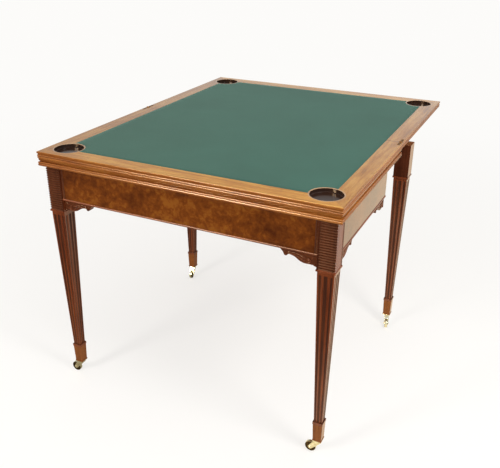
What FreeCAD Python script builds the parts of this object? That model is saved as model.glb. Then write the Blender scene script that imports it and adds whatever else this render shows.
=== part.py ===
import FreeCAD, Part
import math
import os
import re
import Sketcher

# Fold-over games table with a pull-out rear frame, millimetres.
# Shown opened for play: the flap folds forward over the fixed leaf about the
# seam, and the rear legs slide in under the top on two runners.
# X runs across the table, Y from front to back and Z up.
# The origin is on the floor below the middle of the seam.

os.makedirs("parts", exist_ok=True)
doc = FreeCAD.newDocument("games_table")

# Driving sizes of the top
top_sizes = {
    "table_height": 749,
    "leaf_width": 880,
    "leaf_depth": 534.5,
    "leaf_thickness": 18.7,
    "seam_gap": 0.4,
    "shut_gap": 0.4,
    "lip_round": 1.5,
    "lip_height": 5.2,
    "edge_recess": 2,
    "edge_bead_top": 8.6,
    "edge_bead_height": 5.6,
    "edge_bead_reach": 1.7,
    "side_border": 48.4,
    "front_border": 50.2,
    "baize_thickness": 1,
    "baize_clearance": 0.2,
    "well_inset": 62,
    "well_radius": 44.5,
    "well_depth": 12.5,
    "well_fit": 0.1,
    "well_wall": 3.5,
    "well_floor": 1.5,
}

# Driving sizes of the brass hinges at the ends of the seam
hinge_sizes = {
    "hinge_inset": 7,
    "hinge_width": 8,
    "hinge_length": 30,
    "hinge_thickness": 2,
    "barrel_radius": 2.6,
    "knuckle_length": 2.2,
    "knuckle_clearance": 0.3,
    "hinge_pin_radius": 1,
    "pin_clearance": 0.05,
}

# Driving sizes of the frieze frame under the fixed leaf
frame_sizes = {
    "overhang": 13.4,
    "cornice_height": 22.7,
    "cornice_width": 62,
    "sweep_height": 10.6,
    "sweep_depth": 4,
    "sweep_round": 12,
    "small_bead_height": 4.6,
    "small_bead_reach": 1.5,
    "cornice_bead_reach": 1.8,
    "frieze_height": 98.6,
    "rail_setback": 5,
    "rail_thickness": 24,
    "panel_thickness": 2.5,
    "bead_height": 6,
    "bead_width": 5,
    "bead_round": 3.05,
    "side_rail_end": 88,
    "tenon_length": 20,
    "tenon_thickness": 10,
    "tenon_shoulder": 14,
    "back_rail_thickness": 22,
    "back_rail_inset": 6,
    "glue_block_side": 18,
    "glue_block_length": 60,
    "glue_block_pitch": 260,
}

# Driving sizes of the shaped brackets
bracket_sizes = {
    "bracket_length": 98,
    "bracket_depth": 32,
    "bracket_thickness": 20,
    "bracket_setback": 5.2,
}

# Driving sizes of the legs
leg_sizes = {
    "block_side": 47.7,
    "block_drop": 39,
    "rear_block_gap": 47.3,
    "reed_pitch": 6.8,
    "reed_count": 20,
    "reed_depth": 1.8,
    "reed_land": 2.2,
    "block_bead_height": 4.6,
    "block_bead_reach": 1.6,
    "neck_height": 10,
    "shaft_top": 44,
    "shaft_bottom": 23.4,
    "collar_side": 29,
    "collar_height": 8,
    "foot_height": 57,
    "foot_top": 27,
    "foot_bottom": 24,
    "foot_lip_side": 26,
    "foot_lip_height": 3,
    "wood_foot": 46,
}

# Driving sizes of the pull-out rear frame
slide_sizes = {
    "runner_bite": 99.85,
    "closed_gap": 0.4,
    "bearer_gap": 0.3,
    "bearer_end_gap": 18,
    "runner_inset": 57,
    "runner_width": 24,
    "runner_rise": 31,
    "runner_height": 40,
    "runner_end_gap": 3,
    "slide_clearance": 0.3,
    "tongue_width": 8,
    "tongue_height": 12,
    "guide_margin": 10,
    "cross_rail_thickness": 22,
    "stop_width": 16,
    "stop_length": 25,
}

# Driving sizes of the brass casters
caster_sizes = {
    "plate_side": 25,
    "plate_thickness": 2.5,
    "swivel_gap": 0.3,
    "stem_radius": 4,
    "stem_clearance": 0.08,
    "crown_reach": 9,
    "crown_height": 6,
    "caster_trail": 20,
    "wheel_radius": 15.5,
    "wheel_width": 9,
    "cheek_thickness": 2.6,
    "cheek_gap": 0.4,
    "axle_radius": 2.5,
    "axle_clearance": 0.08,
    "axle_eye_radius": 6,
    "eye_share": 0.7,
    "wheel_arch_gap": 2.4,
}

# One overrun carries every cut past the face that it opens.
shared_sizes = {
    "overrun": 5,
}

sizes = {}
for group in (top_sizes, hinge_sizes, frame_sizes, bracket_sizes, leg_sizes,
              slide_sizes, caster_sizes, shared_sizes):
    sizes.update(group)

sheet = doc.addObject("Spreadsheet::Sheet", "sizes")
for row, (alias, size) in enumerate(sizes.items(), start=1):
    sheet.set(f"A{row}", alias)
    sheet.set(f"B{row}", str(size))
    sheet.setAlias(f"B{row}", alias)
doc.recompute()

# Places that several pieces share, as formulas of the driving sizes
leaf_under = "(table_height - leaf_thickness)"
frame_top = "(table_height - leaf_thickness - cornice_height)"
rail_foot = f"({frame_top} - frieze_height)"
side_face = "(leaf_width / 2 - overhang)"
front_face = "(leaf_depth - overhang)"
block_inner = f"({side_face} - block_side)"
block_rear = f"({front_face} - block_side)"
leg_across = f"({side_face} - block_side / 2)"
front_leg = f"({front_face} - block_side / 2)"
rail_face = f"({front_face} - rail_setback)"
rail_inner = f"({front_face} - rail_setback - rail_thickness)"
side_rail_outer = f"({side_face} - rail_setback)"
side_rail_inner = f"({side_face} - rail_setback - rail_thickness)"
hinge_across = "(leaf_width / 2 - hinge_inset)"
well_across = "(leaf_width / 2 - well_inset)"
well_along = "(leaf_depth - well_inset)"
back_rail_rear = "(side_rail_end + back_rail_inset)"
back_rail_front = f"({back_rail_rear} + back_rail_thickness)"
runner_outer = f"({side_face} - runner_inset)"
runner_inner = f"({runner_outer} - runner_width)"
block_foot = f"({rail_foot} - block_drop)"
rear_block_top = f"({leaf_under} - rear_block_gap)"
runner_foot = f"({rail_foot} + runner_rise)"
runner_middle = f"({runner_foot} + runner_height / 2)"
runner_front = f"({back_rail_front} + runner_bite)"
slide_travel = f"({rail_inner} - runner_end_gap - {runner_front})"
rear_leg_reach = f"({slide_travel} - side_rail_end + closed_gap + block_side / 2)"
plate_foot = "(wood_foot - plate_thickness)"
horn_top = f"({plate_foot} - swivel_gap)"
LEVEL = "0"


def cells(formula):
    """The formula with each size read from its cell in the sheet."""
    return re.sub(r"[a-z_]+", lambda word: "sizes." + word.group(), formula)


def value(formula):
    """What a formula comes to now."""
    return float(sheet.evalExpression(cells(formula)))


def minus(formula):
    return f"(0 - {formula})"


def signed(sign, formula):
    """The formula on the side that the sign gives."""
    return formula if sign > 0 else minus(formula)


# Drawing and solid features


def new_body(name, across=LEVEL, along=LEVEL, up=LEVEL, turn=0):
    """A named sub-part, placed by formulas and turned about its own Z."""
    owner = doc.addObject("PartDesign::Body", name)
    owner.Label = name
    owner.Placement = FreeCAD.Placement(
        FreeCAD.Vector(value(across), value(along), value(up)),
        FreeCAD.Rotation(FreeCAD.Vector(0, 0, 1), turn))
    owner.setExpression(".Placement.Base.x", cells(across))
    owner.setExpression(".Placement.Base.y", cells(along))
    owner.setExpression(".Placement.Base.z", cells(up))
    return owner


def origin_part(owner, role):
    return next(part for part in owner.Origin.OriginFeatures if part.Role == role)


def new_sketch(owner, name, plane, start):
    """An empty sketch on one of the body's own planes, moved to its start."""
    sketch = owner.newObject("Sketcher::SketchObject", name)
    sketch.AttachmentSupport = (origin_part(owner, plane), "")
    sketch.MapMode = "FlatFace"
    along = minus(start) if plane == "XZ_Plane" else start
    sketch.setExpression(".AttachmentOffset.Base.z", cells(along))
    return sketch


def arc_between(start, end, radius, turn):
    """The shorter arc from start to end; turn 1 keeps its centre on the left."""
    chord = end - start
    middle = (start + end) / 2
    left = FreeCAD.Vector(-chord.y, chord.x).normalize()
    rise = math.sqrt(max(radius ** 2 - (chord.Length / 2) ** 2, 0))
    centre = middle + left * rise * turn
    first, last = (start, end) if turn > 0 else (end, start)
    begin = math.atan2(first.y - centre.y, first.x - centre.x)
    finish = math.atan2(last.y - centre.y, last.x - centre.x)
    circle = Part.Circle(centre, FreeCAD.Vector(0, 0, 1), radius)
    return Part.ArcOfCircle(circle, begin, finish + (math.tau if finish < begin else 0))


def draw_loop(sketch, corners):
    """A closed outline; a corner with a radius and a turn starts an arc."""
    points = [FreeCAD.Vector(value(corner[0]), value(corner[1])) for corner in corners]
    edges = []
    for here, corner in enumerate(corners):
        start, end = points[here], points[(here + 1) % len(points)]
        if len(corner) > 2:
            edge = sketch.addGeometry(arc_between(start, end, value(corner[2]), corner[3]))
            edges.append((edge, 1, 2) if corner[3] > 0 else (edge, 2, 1))
        else:
            edges.append((sketch.addGeometry(Part.LineSegment(start, end)), 1, 2))
    for here, (edge, first, last) in enumerate(edges):
        after, after_first, _ = edges[(here + 1) % len(edges)]
        sketch.addConstraint(Sketcher.Constraint("Coincident", edge, last, after, after_first))
    for corner, point, (edge, first, last) in zip(corners, points, edges):
        bound = [("DistanceX", corner[0], (first, point.x)),
                 ("DistanceY", corner[1], (first, point.y))]
        if len(corner) > 2:
            bound.append(("Radius", corner[2], (value(corner[2]),)))
        for kind, formula, rest in bound:
            index = sketch.addConstraint(Sketcher.Constraint(kind, edge, *rest))
            sketch.setExpression(f"Constraints[{index}]", cells(formula))


def draw_circle(sketch, across, along, radius):
    centre = FreeCAD.Vector(value(across), value(along))
    circle = Part.Circle(centre, FreeCAD.Vector(0, 0, 1), value(radius))
    edge = sketch.addGeometry(circle)
    for kind, formula, rest in (("DistanceX", across, (3, centre.x)),
                                ("DistanceY", along, (3, centre.y)),
                                ("Radius", radius, (value(radius),))):
        index = sketch.addConstraint(Sketcher.Constraint(kind, edge, *rest))
        sketch.setExpression(f"Constraints[{index}]", cells(formula))


def box_corners(left, right, low, high):
    return [(left, low), (right, low), (right, high), (left, high)]


def prism(owner, name, kind, plane, start, length, loops=(), circles=()):
    """A Pad or Pocket from its start plane towards the positive axis."""
    sketch = new_sketch(owner, name + "_outline", plane, start)
    for corners in loops:
        draw_loop(sketch, corners)
    for circle in circles:
        draw_circle(sketch, *circle)
    feature = owner.newObject("PartDesign::" + kind, name)
    feature.Profile = sketch
    feature.setExpression("Length", cells(length))
    feature.Reversed = (kind == "Pad") == (plane == "XZ_Plane")
    return feature


def pad(owner, name, plane, start, length, **shapes):
    return prism(owner, name, "Pad", plane, start, length, **shapes)


def pocket(owner, name, plane, start, length, **shapes):
    return prism(owner, name, "Pocket", plane, start, length, **shapes)


def loft(owner, name, sections):
    """A straight-sided solid through outlines at the heights given."""
    sketches = []
    for number, (height, corners) in enumerate(sections):
        sketches.append(new_sketch(owner, f"{name}_section_{number}", "XY_Plane", height))
        draw_loop(sketches[-1], corners)
    feature = owner.newObject("PartDesign::AdditiveLoft", name)
    feature.Profile = sketches[0]
    feature.Sections = sketches[1:]
    feature.Ruled = True
    return feature


def rows(owner, name, originals, axis, spacing, count, backwards=False):
    """Copies of features at an even spacing along one of the body's axes."""
    feature = owner.newObject("PartDesign::LinearPattern", name)
    feature.Originals = originals
    feature.Direction = (origin_part(owner, axis), [""])
    feature.Reversed = backwards
    feature.setExpression("Occurrences", cells(count))
    feature.setExpression("Length", cells(f"{spacing} * ({count} - 1)"))
    owner.Tip = feature
    return feature


def square(side):
    half = f"({side} / 2)"
    return box_corners(minus(half), half, minus(half), half)


# Table top


def bow_radius(height, reach):
    """Radius of the arc that stands out by its reach over a height."""
    return f"(({height} * {height} / 4 + {reach} * {reach}) / (2 * {reach}))"


def leaf_edge_waste(edge, inward):
    """What the moulding plane takes off one edge of a leaf: a lip and two beads."""
    recess = f"({edge} {inward} edge_recess)"
    outside = f"({edge} {'-' if inward == '+' else '+'} overrun)"
    turn = 1 if inward == "+" else -1
    bead_foot = "(edge_bead_top + edge_bead_height)"
    bead = bow_radius("edge_bead_height", "edge_bead_reach")
    lower_bead = bow_radius(f"(leaf_thickness - {bead_foot})", "edge_bead_reach")
    return [
        (outside, "overrun"),
        (f"({edge} {inward} lip_round)", "overrun"),
        (f"({edge} {inward} lip_round)", LEVEL, "lip_round", turn),
        (edge, minus("lip_round")),
        (edge, minus("lip_height")),
        (recess, minus("lip_height")),
        (recess, minus("edge_bead_top"), bead, turn),
        (recess, minus(bead_foot), lower_bead, turn),
        (recess, minus("leaf_thickness")),
        (recess, minus("(leaf_thickness + overrun)")),
        (outside, minus("(leaf_thickness + overrun)")),
    ]


def make_leaf(name, turn):
    """A leaf with its front edge moulded on three sides, seam edge at zero."""
    owner = new_body(name, up="table_height", turn=turn)
    half = "(leaf_width / 2)"
    full_depth = "(leaf_depth + 2 * overrun)"
    pad(owner, name + "_board", "XY_Plane", minus("leaf_thickness"), "leaf_thickness",
        loops=[box_corners(minus(half), half, minus("leaf_depth"), "(0 - seam_gap / 2)")])
    pocket(owner, name + "_front_moulding", "YZ_Plane", f"(0 - {half} - overrun)",
           "(leaf_width + 2 * overrun)", loops=[leaf_edge_waste(minus("leaf_depth"), "+")])
    pocket(owner, name + "_side_mouldings", "XZ_Plane", "(0 - leaf_depth - overrun)", full_depth,
           loops=[leaf_edge_waste(minus(half), "+"), leaf_edge_waste(half, "-")])
    felt = f"({half} - side_border)"
    pocket(owner, name + "_baize_bed", "XY_Plane", minus("baize_thickness"),
           "(baize_thickness + overrun)",
           loops=[box_corners(minus(felt), felt, "(front_border - leaf_depth)", "overrun")])
    pocket(owner, name + "_wells", "XY_Plane", minus("well_depth"), "(well_depth + overrun)",
           circles=[(signed(side, well_across), minus(well_along), "well_radius")
                    for side in (-1, 1)])
    plates = []
    for side in (-1, 1):
        middle = signed(side, hinge_across)
        plates.append(box_corners(f"({middle} - hinge_width / 2)", f"({middle} + hinge_width / 2)",
                                  minus("hinge_length"), "overrun"))
    pocket(owner, name + "_hinge_beds", "XY_Plane", minus("hinge_thickness"),
           "(hinge_thickness + overrun)", loops=plates)
    barrels = []
    for side in (-1, 1):
        middle = signed(side, hinge_across)
        barrels.append(box_corners(f"({middle} - hinge_width / 2)", f"({middle} + hinge_width / 2)",
                                   minus("(barrel_radius + knuckle_clearance)"), "overrun"))
    pocket(owner, name + "_barrel_notches", "XY_Plane",
           "(shut_gap / 2 - barrel_radius - knuckle_clearance)",
           "(barrel_radius + knuckle_clearance + overrun)", loops=barrels)


make_leaf("fixed_leaf", 0)
make_leaf("flap_leaf", 180)


def make_baize(name, turn):
    """Cloth glued into the bed of a leaf and trimmed round the wells."""
    owner = new_body(name, up="table_height", turn=turn)
    felt = "(leaf_width / 2 - side_border - baize_clearance)"
    pad(owner, name + "_cloth", "XY_Plane", minus("baize_thickness"), "baize_thickness",
        loops=[box_corners(minus(felt), felt, "(front_border + baize_clearance - leaf_depth)",
                           "(0 - seam_gap / 2)")])
    pocket(owner, name + "_trim", "XY_Plane", "(0 - baize_thickness - overrun)",
           "(baize_thickness + 2 * overrun)",
           circles=[(signed(side, well_across), minus(well_along),
                     "(well_radius + baize_clearance)") for side in (-1, 1)])


make_baize("fixed_baize", 0)
make_baize("flap_baize", 180)


def make_wells(name, turn):
    """Two turned dishes let into a leaf for counters or a glass."""
    owner = new_body(name, up="table_height", turn=turn)
    outer = "(well_radius - well_fit)"
    places = [(signed(side, well_across), minus(well_along)) for side in (-1, 1)]
    pad(owner, name + "_blanks", "XY_Plane", minus("well_depth"), "well_depth",
        circles=[(*place, outer) for place in places])
    pocket(owner, name + "_hollows", "XY_Plane", "(well_floor - well_depth)",
           "(well_depth + overrun)",
           circles=[(*place, f"({outer} - well_wall)") for place in places])


make_wells("fixed_wells", 0)
make_wells("flap_wells", 180)


# Hinges


def make_hinge_plates(name, turn, knuckles, gaps):
    """Two brass plates; knuckles and gaps are spans along the seam."""
    owner = new_body(name, up="table_height", turn=turn)
    middles = [signed(side, hinge_across) for side in (-1, 1)]
    half = "(hinge_width / 2)"
    pad(owner, name + "_plates", "XY_Plane", minus("hinge_thickness"), "hinge_thickness",
        loops=[box_corners(f"({middle} - {half})", f"({middle} + {half})",
                           minus("hinge_length"), "(0 - pin_clearance)") for middle in middles])
    pocket(owner, name + "_knuckle_gaps", "XY_Plane", "(0 - hinge_thickness - overrun)",
           "(hinge_thickness + 2 * overrun)",
           loops=[box_corners(f"({middle} + {left})", f"({middle} + {right})",
                              "(0 - barrel_radius - knuckle_clearance)", "overrun")
                  for middle in middles for left, right in gaps])
    for side, middle in zip(("left", "right"), middles):
        for number, (left, right) in enumerate(knuckles, start=1):
            pad(owner, f"{name}_{side}_knuckle_{number}", "YZ_Plane", f"({middle} + {left})",
                f"({right} - {left})", circles=[(LEVEL, "(shut_gap / 2)", "barrel_radius")])
    return owner


outer_end = "(hinge_width / 2)"
gap_end = f"({outer_end} - knuckle_length)"
middle_end = f"({gap_end} - knuckle_clearance)"
past_end = f"({outer_end} + overrun)"
fixed_plates = make_hinge_plates(
    "fixed_hinge_plates", 0, knuckles=[(minus(outer_end), minus(gap_end)), (gap_end, outer_end)],
    gaps=[(minus(gap_end), gap_end)])
for hand, across_sign in (("left", -1), ("right", 1)):
    pad(fixed_plates, f"{hand}_hinge_pin", "YZ_Plane",
        f"({signed(across_sign, hinge_across)} - {gap_end})", f"(2 * {gap_end})",
        circles=[(LEVEL, "(shut_gap / 2)", "hinge_pin_radius")])

flap_plates = make_hinge_plates(
    "flap_hinge_plates", 180, knuckles=[(minus(middle_end), middle_end)],
    gaps=[(minus(past_end), minus(middle_end)), (middle_end, past_end)])
pocket(flap_plates, "flap_pin_bores", "YZ_Plane", f"(0 - {hinge_across} - {past_end})",
       f"(2 * ({hinge_across} + {past_end}))",
       circles=[(LEVEL, "(shut_gap / 2)", "(hinge_pin_radius + pin_clearance)")])


# Moulded cornice between the fixed leaf and the frieze


def cornice_profile(edge, inward):
    """Section of the cornice: a sweep, two beads and a flat back."""
    turn = 1 if inward == "+" else -1
    face = f"({edge} {inward} edge_recess)"
    back = f"({edge} {inward} cornice_width)"
    last_bead = "(sweep_height + small_bead_height)"
    return [
        (face, LEVEL, "sweep_round", turn),
        (f"({face} {inward} sweep_depth)", minus("sweep_height")),
        (face, minus("sweep_height"), bow_radius("small_bead_height", "small_bead_reach"), turn),
        (face, minus(last_bead),
         bow_radius(f"(cornice_height - {last_bead})", "cornice_bead_reach"), turn),
        (face, minus("cornice_height")),
        (back, minus("cornice_height")),
        (back, LEVEL),
    ]


front_cornice = new_body("front_cornice", up=leaf_under)
pad(front_cornice, "front_cornice_length", "YZ_Plane", "(0 - leaf_width / 2)", "leaf_width",
    loops=[cornice_profile(minus("leaf_depth"), "+")])
far = "(leaf_width / 2 + overrun)"
near = "(leaf_width / 2 - cornice_width - overrun)"
outer_y = "(0 - leaf_depth - overrun)"
inner_y = "(cornice_width + overrun - leaf_depth)"
pocket(front_cornice, "front_cornice_mitres", "XY_Plane", "(0 - cornice_height - overrun)",
       "(cornice_height + 2 * overrun)",
       loops=[[(signed(side, far), outer_y), (signed(side, near), inner_y),
               (signed(side, far), inner_y)] for side in (-1, 1)])

for hand, across_sign in (("left", -1), ("right", 1)):
    side_cornice = new_body(f"{hand}_cornice", up=leaf_under)
    pad(side_cornice, f"{hand}_cornice_length", "XZ_Plane", minus("leaf_depth"),
        "(leaf_depth - seam_gap / 2)",
        loops=[cornice_profile(signed(across_sign, "(leaf_width / 2)"),
                               "-" if across_sign > 0 else "+")])
    pocket(side_cornice, f"{hand}_cornice_mitre", "XY_Plane", "(0 - cornice_height - overrun)",
           "(cornice_height + 2 * overrun)",
           loops=[[(signed(across_sign, far), outer_y), (signed(across_sign, near), outer_y),
                   (signed(across_sign, near), inner_y)]])


# Frieze rails with their veneered panels and cock beads

tenon_foot = f"({rail_foot} + tenon_shoulder)"
tenon_height = "(frieze_height - 2 * tenon_shoulder)"
rail_middle = f"({front_face} - rail_setback - rail_thickness / 2)"
side_rail_middle = f"({side_face} - rail_setback - rail_thickness / 2)"

front_rail = new_body("front_rail")
pad(front_rail, "front_rail_board", "YZ_Plane", minus(block_inner), f"(2 * {block_inner})",
    loops=[box_corners(minus(rail_face), minus(rail_inner), rail_foot, frame_top)])
pad(front_rail, "front_rail_tenons", "YZ_Plane", f"(0 - {block_inner} - tenon_length)",
    f"(2 * {block_inner} + 2 * tenon_length)",
    loops=[box_corners(f"(0 - {rail_middle} - tenon_thickness / 2)",
                       f"(tenon_thickness / 2 - {rail_middle})",
                       tenon_foot, f"({tenon_foot} + {tenon_height})")])

front_burr_panel = new_body("front_burr_panel")
panel_half = f"({block_inner} - bead_width)"
pad(front_burr_panel, "front_burr_panel_sheet", "XZ_Plane",
    f"(0 - {rail_face} - panel_thickness)", "panel_thickness",
    loops=[box_corners(minus(panel_half), panel_half, f"({rail_foot} + bead_height)", frame_top)])


def bead_section(back, outward, low, height):
    """A cock bead's section: flat against the rail, with a half-round nose."""
    shoulder = f"({back} {outward} (rail_setback - bead_height / 2))"
    turn = 1 if outward == "-" else -1
    return [(back, low), (back, f"({low} + {height})"),
            (shoulder, f"({low} + {height})", "bead_round", turn), (shoulder, low)]


front_cock_bead = new_body("front_cock_bead")
pad(front_cock_bead, "front_bottom_bead", "YZ_Plane", minus(block_inner), f"(2 * {block_inner})",
    loops=[bead_section(minus(rail_face), "-", rail_foot, "bead_height")])
for hand, across_sign in (("left", -1), ("right", 1)):
    outer = signed(across_sign, block_inner)
    pad(front_cock_bead, f"front_{hand}_bead", "XZ_Plane", f"(0 - {front_face} + bead_width / 2)",
        "(rail_setback - bead_width / 2)",
        loops=[box_corners(outer, signed(across_sign, panel_half),
                           f"({rail_foot} + bead_height / 2)", frame_top)])

for hand, across_sign in (("left", -1), ("right", 1)):
    outward = "+" if across_sign > 0 else "-"
    rail_side = sorted([signed(across_sign, side_rail_inner), signed(across_sign, side_rail_outer)],
                       key=value)
    side_rail = new_body(f"{hand}_side_rail")
    pad(side_rail, f"{hand}_side_rail_board", "XZ_Plane", minus(block_rear),
        f"({block_rear} - side_rail_end)",
        loops=[box_corners(*rail_side, rail_foot, frame_top)])
    centre = signed(across_sign, side_rail_middle)
    pad(side_rail, f"{hand}_side_rail_tenon", "XZ_Plane", f"(0 - {block_rear} - tenon_length)",
        "(tenon_length + overrun)",
        loops=[box_corners(f"({centre} - tenon_thickness / 2)", f"({centre} + tenon_thickness / 2)",
                           tenon_foot, f"({tenon_foot} + {tenon_height})")])
    burr_panel = new_body(f"{hand}_burr_panel")
    face = signed(across_sign, side_rail_outer)
    panel_low, panel_high = sorted([face, f"({face} {outward} panel_thickness)"], key=value)
    pad(burr_panel, f"{hand}_burr_panel_sheet", "YZ_Plane", panel_low, "panel_thickness",
        loops=[box_corners(f"(bead_width - {block_rear})", minus("side_rail_end"),
                           f"({rail_foot} + bead_height)", frame_top)])
    cock_bead = new_body(f"{hand}_cock_bead")
    pad(cock_bead, f"{hand}_bottom_bead", "XZ_Plane", minus(block_rear),
        f"({block_rear} - side_rail_end)",
        loops=[bead_section(face, outward, rail_foot, "bead_height")])
    stile_low, stile_high = sorted([face, f"({face} {outward} (rail_setback - bead_width / 2))"],
                                   key=value)
    pad(cock_bead, f"{hand}_front_bead", "YZ_Plane", stile_low, "(rail_setback - bead_width / 2)",
        loops=[box_corners(minus(block_rear), f"(bead_width - {block_rear})",
                           f"({rail_foot} + bead_height / 2)", frame_top)])


# Inner rail that closes the frieze frame and lets the runners through

inner_back_rail = new_body("inner_back_rail")
tongue_outer = f"({runner_outer} + tongue_width)"
neck = "(leaf_width / 2 - cornice_width - slide_clearance)"
pad(inner_back_rail, "inner_back_rail_board", "XZ_Plane", minus(back_rail_front),
    "back_rail_thickness",
    loops=[[(minus(side_rail_inner), rail_foot), (side_rail_inner, rail_foot),
            (side_rail_inner, frame_top), (neck, frame_top), (neck, leaf_under),
            (minus(neck), leaf_under), (minus(neck), frame_top),
            (minus(side_rail_inner), frame_top)]])
runner_ways = []
for across_sign in (-1, 1):
    ends = sorted([signed(across_sign, f"({runner_inner} - slide_clearance)"),
                   signed(across_sign, f"({tongue_outer} + slide_clearance)")], key=value)
    runner_ways.append(box_corners(*ends, f"({runner_foot} - slide_clearance)",
                                   f"({runner_foot} + runner_height + slide_clearance)"))
pocket(inner_back_rail, "inner_back_rail_ways", "XZ_Plane", f"(0 - {back_rail_front} - overrun)",
       "(back_rail_thickness + 2 * overrun)", loops=runner_ways)

glue_blocks = new_body("glue_blocks")
glue_block = pad(glue_blocks, "glue_block", "YZ_Plane",
                 "(0 - glue_block_pitch - glue_block_length / 2)", "glue_block_length",
                 loops=[[(minus(rail_inner), frame_top),
                         (minus(rail_inner), f"({frame_top} - glue_block_side)"),
                         (f"(glue_block_side - {rail_inner})", frame_top)]])
rows(glue_blocks, "glue_block_row", [glue_block], "X_Axis", "glue_block_pitch", "3")

for hand, across_sign in (("left", -1), ("right", 1)):
    guide = new_body(f"{hand}_runner_guide")
    inner_edge = f"({runner_outer} + slide_clearance)"
    guide_sides = sorted([signed(across_sign, inner_edge), signed(across_sign, side_rail_inner)],
                         key=value)
    pad(guide, f"{hand}_guide_batten", "XZ_Plane", minus(block_rear),
        f"({block_rear} - {back_rail_front})",
        loops=[box_corners(*guide_sides, f"({runner_foot} - guide_margin)",
                           f"({runner_foot} + runner_height + guide_margin)")])
    groove_sides = sorted([signed(across_sign, f"({inner_edge} - overrun)"),
                           signed(across_sign, f"({inner_edge} + tongue_width)")], key=value)
    pocket(guide, f"{hand}_guide_groove", "XZ_Plane", f"(0 - {block_rear} - overrun)",
           f"({block_rear} - {back_rail_front} + 2 * overrun)",
           loops=[box_corners(*groove_sides,
                              f"({runner_middle} - tongue_height / 2 - slide_clearance)",
                              f"({runner_middle} + tongue_height / 2 + slide_clearance)")])


# Shaped brackets under the frieze: along the frieze, then back underneath
# from the tip, past the drop bead and the ogee, to the curl at the leg.
# Shares are of the bracket's length and depth; radii are of its length.

bracket_shares = [
    (1, 0), (0.905, 0.31), (0.875, 0.52), (0.84, 0.58), (0.8, 0.54), (0.775, 0.43),
    (0.75, 0.4, 0.36, 1), (0.54, 0.6, 0.4, -1), (0.27, 0.885), (0.14, 0.875),
    (0.08, 0.86), (0.04, 0.98), (0, 1),
]


def make_bracket(name, hand_sign, across, along, turn):
    """A bracket whose body frame has the leg at zero and the frieze above."""
    owner = new_body(name, across=across, along=along, up=rail_foot, turn=turn)
    corners = [(LEVEL, LEVEL)]
    for length_share, depth_share, *arc in bracket_shares:
        place = (signed(hand_sign, f"({length_share} * bracket_length)"),
                 f"(0 - {depth_share} * bracket_depth)")
        if arc:
            place += (f"({arc[0]} * bracket_length)", arc[1] * hand_sign)
        corners.append(place)
    pad(owner, name + "_board", "XZ_Plane", "(0 - bracket_thickness / 2)", "bracket_thickness",
        loops=[corners])


bracket_line = "(bracket_setback + bracket_thickness / 2)"
front_line = f"({bracket_line} - {front_face})"
side_line = f"({side_face} - {bracket_line})"
make_bracket("front_bracket_left", 1, minus(block_inner), front_line, 0)
make_bracket("front_bracket_right", -1, block_inner, front_line, 0)
make_bracket("right_bracket_front", 1, side_line, minus(block_rear), 90)
make_bracket("right_bracket_rear", -1, side_line, minus("side_rail_end"), 90)
make_bracket("left_bracket_front", -1, minus(side_line), minus(block_rear), -90)
make_bracket("left_bracket_rear", 1, minus(side_line), minus("side_rail_end"), -90)


# Legs: square block, square bead, fluted taper, collar and spade foot

# Across a face: where each land ends and each flute's floor begins and ends
flute_stops_shares = [
    (-0.5, 0), (-0.4, 0), (-0.34, 0.04), (-0.26, 0.04), (-0.2, 0), (-0.1, 0), (-0.04, 0.04),
    (0.04, 0.04), (0.1, 0), (0.2, 0), (0.26, 0.04), (0.34, 0.04), (0.4, 0),
]


def fluted_square(side):
    """A square with three flutes in each face, as shares of its side."""
    corners = []
    for quarter in range(4):
        for run, depth in flute_stops_shares:
            inset = 0.5 - depth
            along, aside = [(run, -inset), (inset, run), (-run, inset), (-inset, -run)][quarter]
            corners.append((f"({along} * {side})", f"({aside} * {side})"))
    return corners


def make_leg(name, across_sign, front):
    """A leg in its own frame: Z axis down its middle, heights from the floor."""
    along = minus(front_leg) if front else rear_leg_reach
    owner = new_body(name, across=signed(across_sign, leg_across), along=along)
    top = frame_top if front else rear_block_top
    half = "(block_side / 2)"
    pad(owner, name + "_block", "XY_Plane", block_foot, f"({top} - {block_foot})",
        loops=[square("block_side")])
    if front:
        cut_reeds(owner, name, across_sign)
    bead_side = "(block_side + 2 * block_bead_reach)"
    pad(owner, name + "_block_bead", "XY_Plane", block_foot, "block_bead_height",
        loops=[square(bead_side)])
    neck_foot = f"({block_foot} - neck_height)"
    pad(owner, name + "_neck", "XY_Plane", neck_foot, "neck_height",
        loops=[square("shaft_top")])
    shaft_foot = "(wood_foot + foot_height + collar_height)"
    loft(owner, name + "_shaft", [(shaft_foot, fluted_square("shaft_bottom")),
                                  (neck_foot, fluted_square("shaft_top"))])
    pad(owner, name + "_collar", "XY_Plane", "(wood_foot + foot_height)", "collar_height",
        loops=[square("collar_side")])
    loft(owner, name + "_spade", [("(wood_foot + foot_lip_height)", square("foot_bottom")),
                                  ("(wood_foot + foot_height)", square("foot_top"))])
    pad(owner, name + "_foot_lip", "XY_Plane", "wood_foot", "foot_lip_height",
        loops=[square("foot_lip_side")])
    cut_mortises(owner, name, across_sign, front)


def cut_reeds(owner, name, across_sign):
    """Level reeds across the front and outer faces, each with a flat land."""
    half_groove = "((reed_pitch - reed_land) / 2)"
    first = f"({frame_top} - reed_pitch)"
    high, low = f"({first} + {half_groove})", f"({first} - {half_groove})"
    grooves = []
    for face, plane, outward in (("front", "YZ_Plane", -1), ("side", "XZ_Plane", across_sign)):
        edge = signed(outward, "(block_side / 2)")
        outside = signed(outward, "(block_side / 2 + overrun)")
        bottom = signed(outward, "(block_side / 2 - reed_depth)")
        corners = [(outside, low), (outside, high), (edge, high), (bottom, first), (edge, low)]
        grooves.append(pocket(owner, f"{name}_{face}_reeds", plane, minus("block_side"),
                              "(2 * block_side)", loops=[corners]))
    rows(owner, name + "_reed_rows", grooves, "Z_Axis", "reed_pitch", "(reed_count - 1)",
         backwards=True)


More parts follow.
